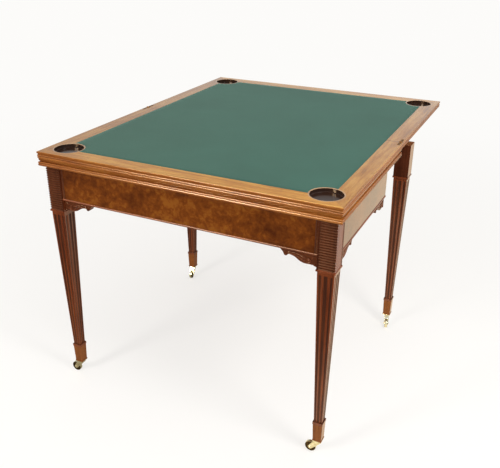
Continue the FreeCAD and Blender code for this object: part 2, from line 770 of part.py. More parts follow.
def cut_mortises(owner, name, across_sign, front):
    """Mortises for the rails that meet in this block."""
    half = "(block_side / 2)"
    if front:
        offset = f"({front_leg} - {rail_middle})"
        foot, height = tenon_foot, tenon_height
    else:
        offset = LEVEL
        foot, height = rear_tenon_foot, rear_tenon_height
    entry, floor_x = sorted([signed(-across_sign, f"({half} + overrun)"),
                             signed(-across_sign, f"({half} - tenon_length)")], key=value)
    pocket(owner, name + "_cross_mortise", "XY_Plane", foot, height,
           loops=[box_corners(entry, floor_x, f"({offset} - tenon_thickness / 2)",
                              f"({offset} + tenon_thickness / 2)")])
    if front:
        centre = signed(across_sign, f"({side_rail_middle} - {leg_across})")
        pocket(owner, name + "_side_mortise", "XY_Plane", foot, height,
               loops=[box_corners(f"({centre} - tenon_thickness / 2)",
                                  f"({centre} + tenon_thickness / 2)",
                                  f"({half} - tenon_length)", f"({half} + overrun)")])


rear_tenon_foot = f"({rail_foot} + tenon_shoulder)"
rear_tenon_height = f"({rear_block_top} - {rail_foot} - 2 * tenon_shoulder)"
make_leg("front_left_leg", -1, front=True)
make_leg("front_right_leg", 1, front=True)
make_leg("rear_left_leg", -1, front=False)
make_leg("rear_right_leg", 1, front=False)


# Pull-out rear frame

rear_rail = new_body("rear_rail", along=rear_leg_reach)
pad(rear_rail, "rear_rail_board", "YZ_Plane", minus(block_inner), f"(2 * {block_inner})",
    loops=[box_corners("(0 - rail_thickness / 2)", "(rail_thickness / 2)", rail_foot,
                       rear_block_top)])
pad(rear_rail, "rear_rail_tenons", "YZ_Plane", f"(0 - {block_inner} - tenon_length)",
    f"(2 * {block_inner} + 2 * tenon_length)",
    loops=[box_corners("(0 - tenon_thickness / 2)", "(tenon_thickness / 2)", rear_tenon_foot,
                       f"({rear_tenon_foot} + {rear_tenon_height})")])

flap_bearer = new_body("flap_bearer", along=rear_leg_reach)
bearer_half = f"({block_inner} - bearer_end_gap)"
pad(flap_bearer, "flap_bearer_board", "YZ_Plane", minus(bearer_half), f"(2 * {bearer_half})",
    loops=[box_corners("(0 - rail_thickness / 2)", "(rail_thickness / 2)", rear_block_top,
                       f"({leaf_under} - bearer_gap)")])

for hand, across_sign in (("left", -1), ("right", 1)):
    runner = new_body(f"{hand}_runner")
    runner_sides = sorted([signed(across_sign, runner_inner), signed(across_sign, runner_outer)],
                          key=value)
    runner_length = f"({runner_front} + {rear_leg_reach} - rail_thickness / 2)"
    pad(runner, f"{hand}_runner_bar", "XZ_Plane", minus(runner_front), runner_length,
        loops=[box_corners(*runner_sides, runner_foot, f"({runner_foot} + runner_height)")])
    tongue_sides = sorted([signed(across_sign, f"({runner_outer} - overrun)"),
                           signed(across_sign, tongue_outer)], key=value)
    pad(runner, f"{hand}_runner_tongue", "XZ_Plane", minus(runner_front),
        f"({runner_length} - back_rail_thickness)",
        loops=[box_corners(*tongue_sides, f"({runner_middle} - tongue_height / 2)",
                           f"({runner_middle} + tongue_height / 2)")])

runner_cross_rail = new_body("runner_cross_rail")
pad(runner_cross_rail, "runner_cross_rail_board", "YZ_Plane", minus(runner_inner),
    f"(2 * {runner_inner})",
    loops=[box_corners(minus(runner_front), f"(cross_rail_thickness - {runner_front})",
                       runner_foot, f"({runner_foot} + runner_height)")])

runner_stops = new_body("runner_stops")
stop_foot = f"({runner_foot} + runner_height / 4)"
for hand, across_sign in (("left", -1), ("right", 1)):
    stop_sides = sorted([signed(across_sign, runner_inner),
                         signed(across_sign, f"({runner_inner} - stop_width)")], key=value)
    pad(runner_stops, f"{hand}_runner_stop", "XZ_Plane",
        f"(0 - {back_rail_front} - closed_gap - stop_length)", "stop_length",
        loops=[box_corners(*stop_sides, stop_foot, f"({stop_foot} + runner_height / 2)")])


# Brass casters: plates under the feet, swivelling horns with their axles, wheels


def make_caster_plates(name, along):
    """The two plates under one pair of feet, bored for the horns' stems."""
    owner = new_body(name, along=along)
    half = "(plate_side / 2)"
    middles = [signed(side, leg_across) for side in (-1, 1)]
    pad(owner, name + "_squares", "XY_Plane", plate_foot, "plate_thickness",
        loops=[box_corners(f"({middle} - {half})", f"({middle} + {half})", minus(half), half)
               for middle in middles])
    pocket(owner, name + "_bores", "XY_Plane", f"({plate_foot} - overrun)",
           "(plate_thickness + 2 * overrun)",
           circles=[(middle, LEVEL, "(stem_radius + stem_clearance)") for middle in middles])


def make_caster(corner, across, along, turn):
    """A horn and its wheel; with no turn the wheel trails to the leg's left."""
    horn = new_body(f"{corner}_caster_horn", across=across, along=along, turn=turn)
    axle = minus("caster_trail")
    half_fork = "(wheel_width / 2 + cheek_gap + cheek_thickness)"
    crown_foot = f"({horn_top} - crown_height)"
    eye = "axle_eye_radius"
    eye_rise = "(axle_eye_radius * eye_share)"
    pad(horn, f"{corner}_horn_arm", "XZ_Plane", minus(half_fork), f"(2 * {half_fork})",
        loops=[[
            ("crown_reach", horn_top),
            (minus("crown_reach"), horn_top),
            (f"({axle} - {eye})", "wheel_radius"),
            (f"({axle} - {eye_rise})", f"(wheel_radius - {eye_rise})"),
            (axle, f"(wheel_radius - {eye})"),
            (f"({axle} + {eye_rise})", f"(wheel_radius - {eye_rise})"),
            ("crown_reach", crown_foot),
        ]])
    gap_half = "(wheel_width / 2 + cheek_gap)"
    pocket(horn, f"{corner}_fork_slot", "XZ_Plane", minus(gap_half), f"(2 * {gap_half})",
           loops=[box_corners(f"({axle} - {eye} - overrun)",
                              f"({axle} + wheel_radius + wheel_arch_gap)",
                              LEVEL, "(2 * wheel_radius + wheel_arch_gap)")])
    pad(horn, f"{corner}_stem", "XY_Plane", crown_foot,
        f"(wood_foot - stem_clearance - {crown_foot})",
        circles=[(LEVEL, LEVEL, "stem_radius")])
    pad(horn, f"{corner}_axle", "XZ_Plane", minus(half_fork), f"(2 * {half_fork})",
        circles=[(axle, "wheel_radius", "axle_radius")])

    wheel = new_body(f"{corner}_wheel", across=across, along=along, turn=turn)
    pad(wheel, f"{corner}_wheel_disc", "XZ_Plane", "(0 - wheel_width / 2)", "wheel_width",
        circles=[(axle, "wheel_radius", "wheel_radius"),
                 (axle, "wheel_radius", "(axle_radius + axle_clearance)")])


make_caster_plates("front_caster_plates", minus(front_leg))
make_caster_plates("rear_caster_plates", rear_leg_reach)
make_caster("front_left", minus(leg_across), minus(front_leg), 0)
make_caster("front_right", leg_across, minus(front_leg), 0)
make_caster("rear_left", minus(leg_across), rear_leg_reach, 99)
make_caster("rear_right", leg_across, rear_leg_reach, 103)

doc.recompute()

# Checks before anything is written
for thing in doc.Objects:
    if "Invalid" in thing.State or "Error" in thing.State:
        raise RuntimeError(f"{thing.Label} failed: {thing.State}")
    if thing.TypeId == "PartDesign::Pocket":
        base = thing.BaseFeature.Shape.Volume
        if not thing.Shape.Volume < base:
            raise RuntimeError(f"{thing.Label} cuts nothing")

for part in doc.Objects:
    if part.TypeId != "PartDesign::Body":
        continue
    shape = part.Shape
    if shape.isNull() or not shape.isValid() or not shape.Solids:
        raise RuntimeError(f"{part.Label} is not a valid solid")
    shape.exportStep(f"parts/{part.Label}.step")
    print(part.Label, len(shape.Solids), "solids", round(shape.Volume / 1000, 1), "cm3")
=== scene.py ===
import math

import bpy
from mathutils import Matrix, Vector


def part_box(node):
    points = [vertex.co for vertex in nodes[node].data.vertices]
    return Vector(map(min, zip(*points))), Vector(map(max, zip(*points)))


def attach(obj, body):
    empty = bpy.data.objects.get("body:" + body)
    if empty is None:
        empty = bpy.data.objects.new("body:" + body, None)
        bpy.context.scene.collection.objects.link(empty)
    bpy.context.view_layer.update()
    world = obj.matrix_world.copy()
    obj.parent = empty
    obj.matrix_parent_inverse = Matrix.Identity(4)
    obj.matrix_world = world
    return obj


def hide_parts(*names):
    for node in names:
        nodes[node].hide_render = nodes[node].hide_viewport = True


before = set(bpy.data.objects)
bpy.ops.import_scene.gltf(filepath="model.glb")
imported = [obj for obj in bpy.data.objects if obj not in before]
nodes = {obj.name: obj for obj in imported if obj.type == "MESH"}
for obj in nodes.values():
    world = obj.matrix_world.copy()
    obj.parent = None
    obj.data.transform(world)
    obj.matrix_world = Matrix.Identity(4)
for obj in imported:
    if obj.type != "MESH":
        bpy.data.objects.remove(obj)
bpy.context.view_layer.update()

# Camera, floor and light
# A still camera 1.3 m up, right of the front, looks down on the open table,
# which stands on a pale paper sweep between two softboxes in a bright room.

camera_azimuth, camera_height, camera_roll = 25.933, 24.584, 0.280
bpy.ops.object.camera_add(location=(0.8296, -1.823, 1.322))
camera = bpy.context.object
camera.name = "camera"
camera.rotation_euler = (
    Matrix.Rotation(math.radians(camera_azimuth), 3, "Z")
    @ Matrix.Rotation(math.radians(90 - camera_height), 3, "X")
    @ Matrix.Rotation(math.radians(camera_roll), 3, "Z")).to_euler()
camera.data.sensor_width = 36
camera.data.lens = 47.26
camera.data.shift_x = 0.00576
camera.data.shift_y = -0.02296
bpy.context.scene.camera = camera
bpy.context.scene.view_settings.view_transform = "Standard"


def linear(colour):
    """The linear red, green, blue and alpha of an sRGB hex colour."""
    parts = [int(colour[place:place + 2], 16) / 255 for place in (1, 3, 5)]
    return (*[part / 12.92 if part <= 0.04045 else ((part + 0.055) / 1.055) ** 2.4
              for part in parts], 1)


def node(tree, kind, links=None, inputs=None, stops=(), **settings):
    """Adds one node with its settings, socket values, incoming links and ramp stops."""
    item = tree.nodes.new(kind)
    for name, setting in settings.items():
        setattr(item, name, setting)
    for socket, setting in (inputs or {}).items():
        item.inputs[socket].default_value = setting
    for socket, source in (links or {}).items():
        tree.links.new(source, item.inputs[socket])
    if stops:
        elements = item.color_ramp.elements
        while len(elements) < len(stops):
            elements.new(0.5)
        for element, (place, colour) in zip(elements, stops):
            element.position = place
            element.color = linear(colour)
    return item


def new_material(name):
    """An empty material, its tree and the output of its object coordinates."""
    material = bpy.data.materials.new(name)
    material.use_nodes = True
    tree = material.node_tree
    tree.nodes.clear()
    coordinates = node(tree, "ShaderNodeTexCoord").outputs["Object"]
    return material, tree, coordinates


def dress(piece, *materials):
    """Gives a piece its materials in place of those that it has."""
    piece.data.materials.clear()
    for material in materials:
        piece.data.materials.append(material)


# The room is bright low down behind the table and overhead, dim between, and
# brighter behind the right end than behind the left.
world = bpy.data.worlds.new("studio")
bpy.context.scene.world = world
world.use_nodes = True
room = world.node_tree
room.nodes.clear()
heading = node(room, "ShaderNodeTexCoord").outputs["Generated"]
parts = node(room, "ShaderNodeSeparateXYZ", links={0: heading})
height = parts.outputs["Z"]
above = node(room, "ShaderNodeValToRGB", links={"Fac": height},
             stops=((0.2, "#EEEEEE"), (0.42, "#A0A0A0"), (0.7, "#DADADA"), (1.0, "#E6E6E6")))
horizon = node(room, "ShaderNodeMapRange", links={"Value": height},
               inputs={"From Min": -0.02, "From Max": 0.02, "To Min": 0.05, "To Max": 1.15})
raised = node(room, "ShaderNodeMath", links={0: horizon.outputs[0], 1: above.outputs["Color"]},
              operation="MULTIPLY")
sideways = node(room, "ShaderNodeMapRange", links={"Value": parts.outputs["X"]},
                inputs={"From Min": -0.35, "From Max": -0.15, "To Min": 0.91, "To Max": 1.2})
raised = node(room, "ShaderNodeMath", links={0: raised.outputs[0], 1: sideways.outputs[0]},
              operation="MULTIPLY")
glowing = node(room, "ShaderNodeBackground", links={"Strength": raised.outputs[0]},
               inputs={"Color": (1, 1, 1, 1)})
node(room, "ShaderNodeOutputWorld", links={"Surface": glowing.outputs[0]})

# The warm lamp, in the left softbox's place, lays the highlights along the
# mouldings and is seen only in polish.
white, warm = (1, 1, 1), (1.0, 0.66, 0.36)
for name, spot, size, power, colour in (
        ("left_softbox", (-1.2, -2.9, 2.0), 0.8, 42, white),
        ("right_softbox", (1.4, -0.75, 1.9), 0.6, 22, white),
        ("warm_moulding_light", (-1.2, -2.9, 2.0), 1.3, 400, warm)):
    bpy.ops.object.light_add(type="AREA", location=spot)
    lamp = bpy.context.object
    lamp.name = name
    lamp.data.shape = "DISK"
    lamp.data.size = size
    lamp.data.energy = power
    lamp.data.color = colour
    lamp.rotation_euler = (Vector((0, 0, 0.6)) - Vector(spot)).to_track_quat("-Z", "Y").to_euler()
    lamp.visible_camera = False
    lamp.visible_diffuse = colour != warm

bpy.ops.mesh.primitive_plane_add(size=40, location=(0, 0, 0))
floor = bpy.context.object
floor.name = "paper_sweep"
paper, tree, place = new_material("paper_sweep")
away = node(tree, "ShaderNodeVectorMath", links={0: place}, operation="LENGTH")
fade = node(tree, "ShaderNodeMapRange", links={"Value": away.outputs["Value"]},
            inputs={"From Min": 0.4, "From Max": 3.2, "To Min": 0.66, "To Max": 1.0},
            interpolation_type="SMOOTHSTEP")
sheet_shader = node(tree, "ShaderNodeBsdfPrincipled",
                    inputs={"Base Color": linear("#F4F1EC"), "Roughness": 0.6,
                            "Specular IOR Level": 0.1})
glow = node(tree, "ShaderNodeEmission", inputs={"Color": linear("#FFFEFC"), "Strength": 0.975})
mixed = node(tree, "ShaderNodeMixShader",
             links={0: fade.outputs["Result"], 1: sheet_shader.outputs[0], 2: glow.outputs[0]})
node(tree, "ShaderNodeOutputMaterial", links={"Surface": mixed.outputs[0]})
dress(floor, paper)
floor.visible_glossy = False

# What polish mirrors of the floor: lit paper that ends a little in front of
# the table, where the studio is dark, and grows brighter to the right.
bpy.ops.mesh.primitive_plane_add(size=1, location=(0.6, 1.9, -0.001))
mirrored = bpy.context.object
mirrored.name = "mirrored_paper"
mirrored.dimensions = (6.4, 6.2, 0)
bpy.ops.object.transform_apply(location=True, rotation=True, scale=True)
lit_paper, tree, place = new_material("lit_paper")
rightward = node(tree, "ShaderNodeVectorMath", links={0: place}, inputs={1: (1.0, -0.25, 0)},
                 operation="DOT_PRODUCT").outputs["Value"]
growing = node(tree, "ShaderNodeMapRange", links={"Value": rightward},
               inputs={"From Min": -0.02, "From Max": 0.3, "To Min": 0.45, "To Max": 1.36})
forward = node(tree, "ShaderNodeSeparateXYZ", links={0: place}).outputs["Y"]
dimming = node(tree, "ShaderNodeMapRange", links={"Value": forward},
               inputs={"From Min": -1.0, "From Max": -0.6, "To Min": 0.05, "To Max": 1.0})
shown = node(tree, "ShaderNodeMath", links={0: growing.outputs[0], 1: dimming.outputs[0]},
             operation="MULTIPLY")
glow = node(tree, "ShaderNodeEmission", links={"Strength": shown.outputs[0]},
            inputs={"Color": linear("#FFEBCB")})
node(tree, "ShaderNodeOutputMaterial", links={"Surface": glow.outputs[0]})
dress(mirrored, lit_paper)
mirrored.visible_camera = False
mirrored.visible_diffuse = False
mirrored.visible_transmission = False
mirrored.visible_shadow = False

# Table top
# Two leaves of solid walnut, cross-jointed at the corners so that the grain
# runs along every border, moulded on three edges and French polished.


def polished_wood(name, grain, streaks, polish=0.1, gloss=0.45, lacquer=1.45):
    """Figured wood under polish; grain is the axis that the fibres follow.

    Growth bands lie 8 to 15 mm apart, fibres show at 1 to 2 mm and the open
    pores are drawn about 0.6 mm wide, coarser than real so that they show.
    """
    material, tree, place = new_material(name)
    stretch = [1.0, 1.0, 1.0]
    stretch["XYZ".index(grain)] = 0.055
    along = node(tree, "ShaderNodeMapping", links={"Vector": place},
                 inputs={"Scale": stretch}).outputs[0]
    bands = node(tree, "ShaderNodeTexNoise", links={"Vector": along},
                 inputs={"Scale": 62, "Detail": 5, "Roughness": 0.6, "Distortion": 0.7})
    fibres = node(tree, "ShaderNodeTexNoise", links={"Vector": along},
                  inputs={"Scale": 480, "Detail": 3, "Roughness": 0.55})
    pores = node(tree, "ShaderNodeTexNoise", links={"Vector": along},
                 inputs={"Scale": 1500, "Detail": 1})
    cloud = node(tree, "ShaderNodeTexNoise", links={"Vector": place},
                 inputs={"Scale": 9, "Detail": 2})
    summed = node(tree, "ShaderNodeMath", operation="MULTIPLY_ADD",
                  links={0: fibres.outputs["Fac"], 2: bands.outputs["Fac"]}, inputs={1: 0.35})
    summed = node(tree, "ShaderNodeMath", operation="MULTIPLY_ADD",
                  links={0: cloud.outputs["Fac"], 2: summed.outputs[0]}, inputs={1: 0.35})
    tone = node(tree, "ShaderNodeValToRGB", links={"Fac": summed.outputs[0]}, stops=streaks)
    pore = node(tree, "ShaderNodeMapRange", links={"Value": pores.outputs["Fac"]},
                inputs={"From Min": 0.33, "From Max": 0.42, "To Min": 0.62, "To Max": 1.0})
    colour = node(tree, "ShaderNodeMix", data_type="RGBA", blend_type="MULTIPLY",
                  links={6: tone.outputs["Color"], 7: pore.outputs[0]}, inputs={0: 1.0})
    bump = node(tree, "ShaderNodeBump", links={"Height": fibres.outputs["Fac"]},
                inputs={"Strength": 0.08, "Distance": 0.0004})
    shader = node(tree, "ShaderNodeBsdfPrincipled",
                  links={"Base Color": colour.outputs[2], "Normal": bump.outputs[0]},
                  inputs={"Roughness": gloss, "Coat Weight": 1.0, "Coat Roughness": polish,
                          "Coat IOR": lacquer, "Specular IOR Level": 0.04,
                          "Specular Tint": linear("#F0B47C")})
    node(tree, "ShaderNodeOutputMaterial", links={"Surface": shader.outputs[0]})
    return material


top_streaks = ((0.62, "#8B5619"), (0.82, "#AA7329"), (1.0, "#BD8B3A"))
end_streaks = ((0.62, "#7A4B1A"), (0.82, "#976529"), (1.0, "#AB7C3A"))
edge_streaks = ((0.5, "#6B340D"), (0.75, "#824616"), (1.0, "#985C23"))
top_woods = [polished_wood("walnut_border_front", "X", top_streaks, lacquer=1.32),
             polished_wood("walnut_border_side", "Y", end_streaks, lacquer=1.36)]
edge_woods = [polished_wood("walnut_edge_front", "X", edge_streaks, polish=0.2, lacquer=1.4),
              polished_wood("walnut_edge_side", "Y", edge_streaks, polish=0.2, lacquer=1.2)]
# Dark wood for the stained seam, and painted shade in the quirks and the hollow of the mouldings.
seam_stain_and_quirk_shade = polished_wood("seam_stain_and_painted_quirk_shade", "X", ((0.5, "#33170A"), (1.0, "#55290F")))


def only(piece):
    """Leaves one piece selected and active."""
    bpy.ops.object.select_all(action="DESELECT")
    piece.select_set(True)
    bpy.context.view_layer.objects.active = piece


def faired(piece):
    """Smooths the curves of a piece and keeps its flat faces flat."""
    only(piece)
    bpy.ops.object.shade_smooth_by_angle(angle=math.radians(35))
    level = piece.modifiers.new("flat_faces", "WEIGHTED_NORMAL")
    level.keep_sharp = True
    bpy.ops.object.modifier_apply(modifier="flat_faces")


def split(piece, *planes):
    """Cuts edges into a piece along planes, each given as a point and a normal."""
    only(piece)
    bpy.ops.object.mode_set(mode="EDIT")
    for point, normal in planes:
        bpy.ops.mesh.select_all(action="SELECT")
        bpy.ops.mesh.bisect(plane_co=point, plane_no=normal)
    bpy.ops.object.mode_set(mode="OBJECT")


def inset_faces(piece, chosen, *steps):
    """Insets the faces that chosen picks, each step by a width and a rise."""
    only(piece)
    bpy.ops.object.mode_set(mode="EDIT")
    bpy.ops.mesh.select_mode(type="FACE")
    bpy.ops.mesh.select_all(action="DESELECT")
    bpy.ops.object.mode_set(mode="OBJECT")
    for face in piece.data.polygons:
        face.select = chosen(face)
    bpy.ops.object.mode_set(mode="EDIT")
    for width, rise in steps:
        bpy.ops.mesh.inset(thickness=width, depth=rise)
    bpy.ops.object.mode_set(mode="OBJECT")


# The open top's half sizes and height, how far in its moulded edges reach, and
# half the width of a quirk.
half_width, half_depth, top_height = 0.44, 0.5345, 0.749
edge_band, half_quirk = 0.012, 0.0003


def scored(piece, *levels):
    """Cuts quirks 0.6 mm wide along the outer edges of a piece at these heights."""
    split(piece, *[((0, 0, level + side * half_quirk), (0, 0, 1))
                   for level in levels for side in (-1, 1)])

    def on_quirk(face):
        near = min(abs(face.center.z - level) for level in levels) < half_quirk
        return near and any(
            edge - abs(face.center[axis]) < edge_band
            and face.normal[axis] * math.copysign(1, face.center[axis]) > 0.75
            for axis, edge in ((0, half_width), (1, half_depth)))

    inset_faces(piece, on_quirk, (0.00005, -0.0005))


def worked(source, name, edge, steps=2):
    """A piece on a node's shape, its arrises eased by the given width."""
    piece = bpy.data.objects.new(name, nodes[source].data.copy())
    bpy.context.collection.objects.link(piece)
    only(piece)
    bpy.ops.object.mode_set(mode="EDIT")
    bpy.ops.mesh.select_all(action="SELECT")
    bpy.ops.mesh.remove_doubles(threshold=0.00001)
    bpy.ops.mesh.dissolve_limited(angle_limit=math.radians(0.5))
    bpy.ops.object.mode_set(mode="OBJECT")
    if edge:
        eased = piece.modifiers.new("eased_arrises", "BEVEL")
        eased.width = edge
        eased.segments = steps
        eased.limit_method = "ANGLE"
        eased.angle_limit = math.radians(32)
        eased.use_clamp_overlap = True
        bpy.ops.object.modifier_apply(modifier="eased_arrises")
    faired(piece)
    return piece


# Each leaf is cut along its mitres for the grain. Stain darkens the seam;
# the quirk in the bead of the edge, and the hollow above it down to its foot,
# are painted darker as shade.
seam_band, quirk_level, hollow_foot, hollow_inset = 0.0012, 0.7370, 0.7427, 0.0014
lip_top = 0.7485
for leaf, body, facing in (("fixed_leaf", "carcass", -1), ("flap_leaf", "flap", 1)):
    piece = worked(leaf, f"polished_{leaf}", 0.0004)
    split(piece, *[((side * half_width, facing * half_depth, top_height), (facing, -side, 0))
                   for side in (-1, 1)],
          ((0, facing * seam_band, top_height), (0, 1, 0)), ((0, 0, hollow_foot), (0, 0, 1)))
    scored(piece, quirk_level)
    faired(piece)
    dress(piece, *top_woods, *edge_woods, seam_stain_and_quirk_shade)
    for face in piece.data.polygons:
        side_near = half_width - abs(face.center.x)
        front_near = half_depth - abs(face.center.y)
        inset = min(side_near, front_near)
        on_edge = inset < edge_band and face.center.z < lip_top
        # The hollow and the quirk take the dark wood as painted shade.
        stained = (inset > hollow_inset and face.center.z > hollow_foot
                   or abs(face.center.z - quirk_level) < half_quirk)
        if on_edge and stained or abs(face.center.y) < seam_band:
            face.material_index = 4
        else:
            face.material_index = (1 if side_near < front_near else 0) + (2 if on_edge else 0)
    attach(piece, body)
    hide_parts(leaf)

# Baize
# A wool cloth a millimetre thick, glued into the bed of each leaf and trimmed
# round the wells. Its cropped nap takes a soft sheen and shows no thread.

baize, tree, place = new_material("cropped_wool_baize")
nap = node(tree, "ShaderNodeTexNoise", links={"Vector": place},
           inputs={"Scale": 900, "Detail": 3, "Roughness": 0.7})
brushed = node(tree, "ShaderNodeTexNoise", links={"Vector": place},
               inputs={"Scale": 6, "Detail": 3, "Roughness": 0.6})
summed = node(tree, "ShaderNodeMath", operation="MULTIPLY_ADD",
              links={0: brushed.outputs["Fac"], 2: nap.outputs["Fac"]}, inputs={1: 0.5})
tone = node(tree, "ShaderNodeValToRGB", links={"Fac": summed.outputs[0]},
            stops=((0.4, "#1B3D34"), (1.1, "#285146")))
bump = node(tree, "ShaderNodeBump", links={"Height": nap.outputs["Fac"]},
            inputs={"Strength": 0.5, "Distance": 0.0006})
shader = node(tree, "ShaderNodeBsdfPrincipled",
              links={"Base Color": tone.outputs["Color"], "Normal": bump.outputs[0]},
              inputs={"Roughness": 0.95, "Specular IOR Level": 0.15, "Sheen Weight": 0.35,
                      "Sheen Roughness": 0.45, "Sheen Tint": linear("#9DBBAE")})
node(tree, "ShaderNodeOutputMaterial", links={"Surface": shader.outputs[0]})

well_place, trim_radius, bed_gap = (0.378, 0.4725), 0.0447, 0.00005
for leaf, body, facing in (("fixed", "carcass", -1), ("flap", "flap", 1)):
    low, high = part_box(f"{leaf}_baize")
    width, depth, thickness = high - low
    middle = (low + high) / 2
    bpy.ops.object.select_all(action="DESELECT")
    bpy.ops.mesh.primitive_grid_add(x_subdivisions=48, y_subdivisions=30, size=1,
                                    location=(middle.x, middle.y, low.z + bed_gap))
    piece = bpy.context.object
    piece.name = f"{leaf}_cloth"
    piece.dimensions = (width, depth, 0)
    bpy.ops.object.transform_apply(location=True, rotation=True, scale=True)
    cutters = []
    for side in (-1, 1):
        bpy.ops.object.select_all(action="DESELECT")
        bpy.ops.mesh.primitive_cylinder_add(
            vertices=96, radius=trim_radius, depth=0.02,
            location=(side * well_place[0], facing * well_place[1], low.z))
        cutters.append(bpy.context.object)
    only(piece)
    body_of_cloth = piece.modifiers.new("thickness", "SOLIDIFY")
    body_of_cloth.thickness = thickness - 2 * bed_gap
    body_of_cloth.offset = 1
    bpy.ops.object.modifier_apply(modifier="thickness")
    for cutter in cutters:
        trim = piece.modifiers.new("trim", "BOOLEAN")
        trim.object = cutter
        trim.operation = "DIFFERENCE"
        trim.solver = "EXACT"
        bpy.ops.object.modifier_apply(modifier="trim")
        bpy.data.objects.remove(cutter)
    edge = piece.modifiers.new("cut_edge", "BEVEL")
    edge.width = 0.0003
    edge.segments = 2
    edge.limit_method = "ANGLE"
    bpy.ops.object.modifier_apply(modifier="cut_edge")
    # Both cloths reach the seam, so that no gap shows between them.
    for vertex in piece.data.vertices:
        if abs(vertex.co.y) < 0.001:
            vertex.co.y = facing * 0.00002
    bpy.ops.object.shade_smooth_by_angle(angle=math.radians(50))
    dress(piece, baize)
    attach(piece, body)
    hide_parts(f"{leaf}_baize")

# Wells
# A turned dish of dark polished wood is let into each corner for counters or
# a glass; its rim is a ring of paler wood, left flush with the border.

well_wood = polished_wood("dark_polished_well", "X",
                          ((0.5, "#120B08"), (0.9, "#2B1A12")), gloss=0.35, lacquer=1.3)
ring_wood = polished_wood("pale_turned_rim", "X",
                          ((0.5, "#7E5A3C"), (0.9, "#A98560")), polish=0.15)


def joined(name, pieces):
    """Joins pieces into the first of them and names the result."""
    bpy.ops.object.select_all(action="DESELECT")
    for piece in pieces:
        piece.select_set(True)
    bpy.context.view_layer.objects.active = pieces[0]
    bpy.ops.object.join()
    pieces[0].name = name
    return pieces[0]


dish_radius, dish_depth, ring_inside, ring_foot = 0.0444, 0.0125, 0.0407, 0.7475
for leaf, body, facing in (("fixed", "carcass", -1), ("flap", "flap", 1)):
    dishes = []
    for side in (-1, 1):
        middle = Vector((side * well_place[0], facing * well_place[1], top_height - dish_depth / 2))
        bpy.ops.object.select_all(action="DESELECT")
        bpy.ops.mesh.primitive_cylinder_add(vertices=96, radius=dish_radius, depth=dish_depth,
                                            location=middle)
        dish = bpy.context.object
        bpy.ops.object.transform_apply(location=True)
        dress(dish, well_wood, ring_wood)
        inset_faces(dish, lambda face: face.normal.z > 0.9,
                    (0.0007, 0.0), (0.0022, 0.0), (0.0006, -0.0006), (0.0002, -0.0086),
                    (0.0018, -0.0013), (0.003, -0.0003))
        for face in dish.data.polygons:
            reach = (face.center.xy - middle.xy).length
            on_ring = reach > ring_inside and face.center.z > ring_foot
            face.material_index = 1 if on_ring else 0
        dishes.append(dish)
    piece = joined(f"turned_{leaf}_wells", dishes)
    bpy.ops.object.shade_smooth_by_angle(angle=math.radians(40))
    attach(piece, body)
    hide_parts(f"{leaf}_wells")

# Hinges
# Narrow cast brass hinges, let in flush at both ends of the seam; each plate is
# filed and held by three slotted countersunk screws.

# Brass dulled by hands: rough and brown, with no clear highlight.
dulled_brass, tree, place = new_material("dull_handled_brass")
handled = node(tree, "ShaderNodeTexNoise", links={"Vector": place},
               inputs={"Scale": 180, "Detail": 4, "Roughness": 0.6})
tone = node(tree, "ShaderNodeValToRGB", links={"Fac": handled.outputs["Fac"]},
            stops=((0.35, "#4E3B28"), (0.6, "#6E573C"), (0.85, "#8C7454")))
shader = node(tree, "ShaderNodeBsdfPrincipled", links={"Base Color": tone.outputs["Color"]},
              inputs={"Metallic": 1.0, "Roughness": 0.7})
node(tree, "ShaderNodeOutputMaterial", links={"Surface": shader.outputs[0]})

plate_across, first_screw, screw_pitch = 0.433, 0.0075, 0.0095
for leaf, body, facing in (("fixed", "carcass", -1), ("flap", "flap", 1)):
    source = f"{leaf}_hinge_plates"
    piece = worked(source, f"filed_{source}", 0.0002)
    dress(piece, dulled_brass)
    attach(piece, body)
    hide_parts(source)
    screws = []
    for across in (-plate_across, plate_across):
        for number in range(3):
            along = facing * (first_screw + screw_pitch * number)
            bpy.ops.object.select_all(action="DESELECT")
            bpy.ops.mesh.primitive_cylinder_add(vertices=28, radius=0.0021, depth=0.0009,
                                                location=(across, along, top_height - 0.00035))
            head = bpy.context.object
            bpy.ops.mesh.primitive_cube_add(size=1, location=(across, along, 0.7492),
                                            rotation=(0, 0, 0.9 * number + 4 * across + facing))
            slot = bpy.context.object
            slot.dimensions = (0.0006, 0.006, 0.0012)
            bpy.context.view_layer.update()
            only(head)
            cut = head.modifiers.new("slot", "BOOLEAN")
            cut.object = slot
            cut.operation = "DIFFERENCE"
            bpy.ops.object.modifier_apply(modifier="slot")
            bpy.data.objects.remove(slot)
            bpy.ops.object.transform_apply(location=True)
            screws.append(head)
    heads = joined(f"{leaf}_hinge_screws", screws)
    dress(heads, dulled_brass)
    bpy.ops.object.shade_smooth_by_angle(angle=math.radians(35))
    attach(heads, body)

# Cornice
# Solid walnut mouldings, run with a sweep and two beads, mitred at the front
# corners and glued under the fixed leaf.

cornice_quirks = (0.7275, 0.7238)
for source, wood in (("front_cornice", edge_woods[0]), ("left_cornice", edge_woods[1]),
                     ("right_cornice", edge_woods[1])):
    piece = worked(source, f"moulded_{source}", 0)
    scored(piece, *cornice_quirks)
    faired(piece)
    dress(piece, wood, seam_stain_and_quirk_shade)
    # The quirks take the dark wood as painted shade.
    for face in piece.data.polygons:
        off_quirk = min(abs(face.center.z - level) for level in cornice_quirks)
        face.material_index = 1 if off_quirk < half_quirk else 0
    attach(piece, "carcass")
    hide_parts(source)

# Frieze
# Stained rails faced with burr walnut veneer, whose figure is soft clouds 10 to
# 25 mm across with small eyes; walnut cock beads run below and beside it.

